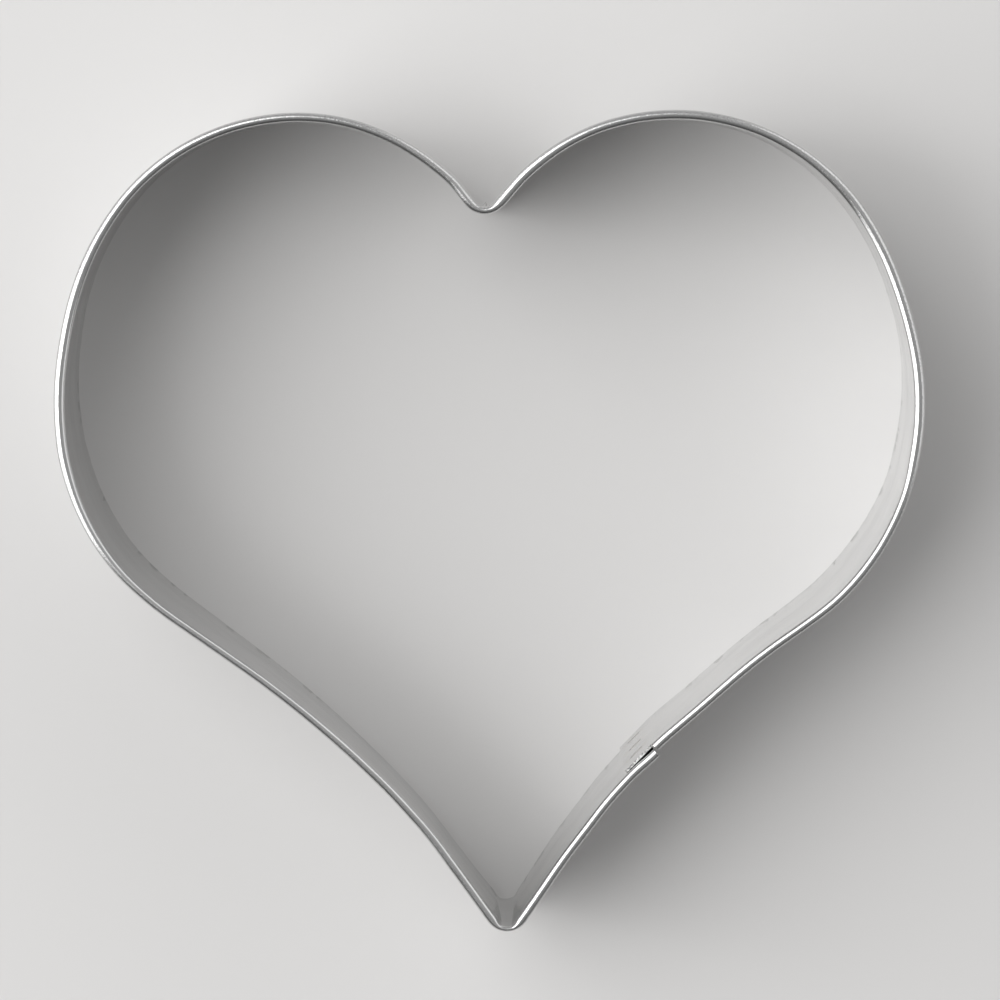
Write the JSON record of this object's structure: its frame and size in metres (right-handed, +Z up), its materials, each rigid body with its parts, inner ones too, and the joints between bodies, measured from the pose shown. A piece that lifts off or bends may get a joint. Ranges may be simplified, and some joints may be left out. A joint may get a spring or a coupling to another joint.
{
  "type": "cookie cutter",
  "caption": "Heart-shaped cutter for dough: an open steel band with a thin cutting edge below and a hemmed rim on top, closed by a spot-welded lap on one flank.",
  "frame": {"origin": "centre of the heart's outline on the plane of the cutting edge", "axes": "+Z up from the cutting edge to the hemmed rim, +X to the heart's right lobe, +Y from the heart's tip to its lobes"},
  "size_m": [0.1, 0.095, 0.025],
  "materials": {
    "stainless_strip": "bright cold-rolled stainless sheet with fine rolling lines",
    "weld_metal": "dull, slightly heat-tinted spot weld"
  },
  "bodies": {
    "root": {"cutter_band": "stainless_strip", "bottom_spot_weld": "weld_metal", "middle_spot_weld": "weld_metal", "top_spot_weld": "weld_metal"}
  },
  "joints": []
}
